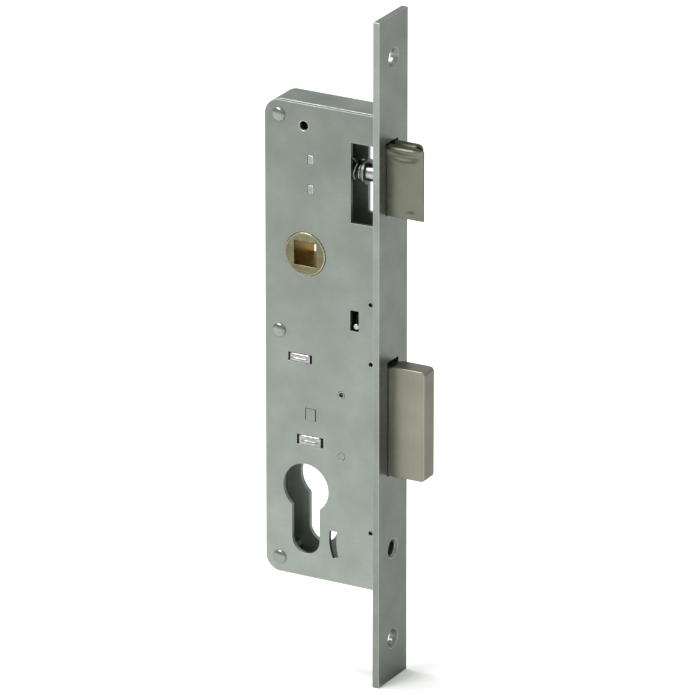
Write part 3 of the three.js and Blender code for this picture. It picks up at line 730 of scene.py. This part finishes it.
def latch_section(near, far, low_z, high_z):
    """The latch across its length, as (y, z) pairs: flat sides, a crisp foot and two beads on top."""
    width = far - near
    near_bead = min(NEAR_BEAD, width * 0.24)
    far_bead = min(FAR_BEAD, width * 0.2)
    near_top = high_z - near_bead
    far_top = high_z - far_bead - BEAD_STEP
    foot_z = low_z + FOOT_RADIUS
    near_steps = 44
    far_steps = 14
    ring = arc((near + FOOT_RADIUS, foot_z), FOOT_RADIUS, 1.5, 1.0, 4)
    ring += [(near, foot_z + (near_top - foot_z) * i / near_steps) for i in range(1, near_steps)]
    ring += arc((near + near_bead, near_top), near_bead, 1.0, 0.06, 18)
    ring += arc((far - far_bead, far_top), far_bead, 0.94, 0.0, 16)
    ring += [(far, far_top - (far_top - foot_z) * i / far_steps) for i in range(1, far_steps)]
    ring += arc((far - FOOT_RADIUS, foot_z), FOOT_RADIUS, 0.0, -0.5, 4)
    return ring


def latch_far_side(x, near, far, tip, shoulder):
    """Where the far side is at a station: flat, then a rounded corner, then the slanted front."""
    if x <= shoulder - BEND_LENGTH:
        return far
    slant = far - (far - near) * max(0.0, x - shoulder) / (tip - shoulder)
    round_off = math.exp(-((x - shoulder) / BEND_WIDTH) ** 2) * BEND_DEPTH
    return max(near + TIP_THICK, slant - round_off)


def hollow(x, z, scoop, dimple):
    """How deep the latch's near side is pressed in: a long bowed scoop and a small dimple."""
    along = (x - scoop.x) / SCOOP_HALF[0]
    up = (z - scoop.z - along * along * SCOOP_BOW) / SCOOP_HALF[1]
    long_press = SCOOP_DEPTH * math.exp(-(along ** 4) * 1.5 - up * up)
    small = ((x - dimple.x) / DIMPLE_HALF[0]) ** 2 + ((z - dimple.z) / DIMPLE_HALF[1]) ** 2
    return long_press + DIMPLE_DEPTH * math.exp(-small * 1.4)


def latch_head():
    """The latch: its section skinned along its length."""
    low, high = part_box("latch_head")
    tip = high.x + TIP_PROUD
    shoulder = tip - SLANT_LENGTH
    start = shoulder - BEND_LENGTH
    last = tip - 0.15 * MM
    stations = [low.x + (start - low.x) * i / 26 for i in range(27)]
    stations += [start + (last - start) * i / 20 for i in range(1, 21)]
    stations += [tip]
    scoop = Vector((low.x + 10.6 * MM, 0, high.z - 3.3 * MM))
    dimple = Vector((tip - 4.8 * MM, 0, low.z + 3.1 * MM))
    rings = []
    for x in stations:
        far_y = latch_far_side(x, low.y, high.y, tip, shoulder)
        near_y = low.y + (TIP_EDGE if x == tip else 0.0)
        ring = []
        for y, z in latch_section(near_y, far_y, low.z, high.z):
            pressed = hollow(x, z, scoop, dimple) if y < low.y + NEAR_SKIN else 0.0
            ring.append((x, y + pressed, z))
        rings.append(ring)
    bm = bmesh.new()
    loft(bm, rings)
    piece = new_piece("latch_head_made", bm, LATCH_NICKEL)
    finish_piece(piece, "latch", ["latch_head"], 45)


def latch_rest():
    """The latch's stem, collar and yoke, and the plate that the stem slides in."""
    pressing("latch_shank", "latch", WIRE, 0.25, angle=50)
    pressing("latch_collar", "latch", STEEL, 0.12, angle=50)
    pressing("latch_yoke", "latch", STEEL, 0.2)
    pressing("latch_guide", "case", DOME_ZINC, 0.3)


# ------------------------------------------------------------------ follower, bolt, detent, lift bar
SQUARE_REACH = 4.3 * MM       # a little more than half the spindle square


def follower():
    """The brass hub, yellower in its square hole, and the steel cam on it."""
    hub = pressing("follower_hub", "follower", BRASS, 0.4, angle=50)
    hub.data.materials.append(BROACHED)
    low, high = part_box("follower_hub")
    axis = (low + high) / 2
    for face in hub.data.polygons:
        across = max(abs(face.center.x - axis.x), abs(face.center.z - axis.z))
        if across < SQUARE_REACH and abs(face.normal.y) < 0.4:
            face.material_index = 1
    pressing("follower_cam", "follower", STEEL, 0.15, angle=50)


def deadbolt():
    """The bolt, its tail and the pins that join them."""
    pressing("deadbolt_head", "deadbolt", BOLT_NICKEL, 0.45, angle=50)
    pressing("deadbolt_tail", "deadbolt", STEEL, 0.15)
    for place in ("upper", "lower"):
        pressing("deadbolt_pin_" + place, "deadbolt", STEEL, 0.15, angle=50)


def small_parts():
    """The lift bar and its studs, the detent lever and its stud."""
    pressing("lift_bar", "lift", STEEL, 0.12)
    for place in ("upper", "lower"):
        pressing("bar_stud_" + place, "case", COVER_ZINC, 0.08, angle=50)
    pressing("detent_lever", "detent", STEEL, 0.15)
    pressing("detent_stud", "detent", PEENED, 0.25, angle=50)


# ------------------------------------------------------------------ studio
def studio_floor():
    """A wide pale floor."""
    ground = PLATE_LOW.z
    reach = 9.0
    steps = 6
    marks = [-reach + 2 * reach * i / steps for i in range(steps + 1)]
    verts = [(x, y, ground) for y in marks for x in marks]
    faces = []
    for j in range(steps):
        for i in range(steps):
            k = j * (steps + 1) + i
            faces.append((k, k + 1, k + steps + 2, k + steps + 1))
    mesh = bpy.data.meshes.new("floor")
    mesh.from_pydata(verts, [], faces)
    mesh.shade_smooth()
    g = Graph("pale_floor")
    coords = g.add("ShaderNodeTexCoord").outputs["Object"]
    mottle = g.noise(coords, (1, 1, 1), 2.0, 2.0)
    ramp = g.add("ShaderNodeValToRGB")
    ramp.color_ramp.elements[0].color = (0.93, 0.93, 0.93, 1)
    ramp.color_ramp.elements[1].color = (0.97, 0.97, 0.97, 1)
    g.link(mottle, ramp.inputs["Fac"])
    g.shader(ramp.outputs[0]).inputs["Roughness"].default_value = 0.9
    mesh.materials.append(g.material)
    floor = bpy.data.objects.new("floor", mesh)
    bpy.context.scene.collection.objects.link(floor)


def softbox(name, place, target, size, power):
    """A rectangular lamp aimed at the target; size in metres, power in watts."""
    data = bpy.data.lights.new(name, "AREA")
    data.shape = "RECTANGLE"
    data.size, data.size_y = size
    data.energy = power
    light = bpy.data.objects.new(name, data)
    light.location = place
    aim = Vector(target) - Vector(place)
    light.rotation_euler = aim.to_track_quat("-Z", "Y").to_euler()
    bpy.context.scene.collection.objects.link(light)


def grey_cloth():
    """A grey cloth laid right of the lock and behind it, that only the metal mirrors."""
    right = Vector((math.cos(VIEW_ROUND), math.sin(VIEW_ROUND), 0))
    deep = Vector((-math.sin(VIEW_ROUND), math.cos(VIEW_ROUND), 0))
    lift = Vector((0, 0, PLATE_LOW.z + 0.4 * MM))
    corners = [(0.0, -0.25), (1.4, -0.6), (1.7, 1.6), (0.0, 1.3)]    # to the right of the view, then deep
    mesh = bpy.data.meshes.new("flag")
    mesh.from_pydata([right * u + deep * w + lift for u, w in corners], [], [(0, 1, 2, 3)])
    g = Graph("grey_cloth")
    coords = g.add("ShaderNodeTexCoord").outputs["Object"]
    weave = g.spread(g.noise(coords, (1, 1, 1), 60.0, 2.0), 0.58, 0.66)
    g.shader(weave).inputs["Roughness"].default_value = 1.0
    mesh.materials.append(g.material)
    flag = bpy.data.objects.new("flag", mesh)
    flag.visible_camera = False
    flag.visible_diffuse = False
    flag.visible_shadow = False
    bpy.context.scene.collection.objects.link(flag)


def lights():
    """A pale sky that darkens towards the ground, two softboxes on the left and the grey cloth."""
    scene = bpy.context.scene
    world = bpy.data.worlds.new("studio")
    world.use_nodes = True
    tree = world.node_tree
    background = tree.nodes["Background"]
    coords = tree.nodes.new("ShaderNodeTexCoord")
    height = tree.nodes.new("ShaderNodeSeparateXYZ")
    ramp = tree.nodes.new("ShaderNodeValToRGB")
    ramp.color_ramp.elements[0].position = 0.1
    ramp.color_ramp.elements[0].color = (0.55, 0.6, 0.6, 1)
    ramp.color_ramp.elements[1].position = 0.8
    ramp.color_ramp.elements[1].color = (1.0, 1.0, 0.98, 1)
    tree.links.new(coords.outputs["Generated"], height.inputs[0])
    tree.links.new(height.outputs["Z"], ramp.inputs["Fac"])
    tree.links.new(ramp.outputs["Color"], background.inputs["Color"])
    background.inputs["Strength"].default_value = 0.9
    scene.world = world
    scene.view_settings.view_transform = "Standard"
    target = (0, 0, MIDDLE_Z)
    softbox("key", (-0.7, -1.3, MIDDLE_Z + 1.5), target, (0.9, 0.9), 22)
    softbox("strip", (-0.75, -0.05, MIDDLE_Z + 1.4), target, (0.6, 1.2), 16)
    grey_cloth()


def camera():
    """Looks down on the lock from the cover side, a little round towards the bolts."""
    aim = Vector((-10.865 * MM, -5.963 * MM, MIDDLE_Z + 0.094 * MM))
    level = math.cos(VIEW_UP)
    back = Vector((math.sin(VIEW_ROUND) * level, -math.cos(VIEW_ROUND) * level, math.sin(VIEW_UP)))
    data = bpy.data.cameras.new("camera")
    data.sensor_width = 36.0
    data.lens = VIEW_LENS
    data.clip_start = 0.1
    data.clip_end = 40.0
    eye = bpy.data.objects.new("camera", data)
    eye.location = aim + back * VIEW_DISTANCE
    eye.rotation_euler = (-back).to_track_quat("-Z", "Y").to_euler()
    bpy.context.scene.collection.objects.link(eye)
    bpy.context.scene.camera = eye


# ------------------------------------------------------------------ the lock
case_sheets()
case_bars()
case_posts()
springs()
latch_head()
latch_rest()
follower()
deadbolt()
small_parts()
studio_floor()
lights()
camera()
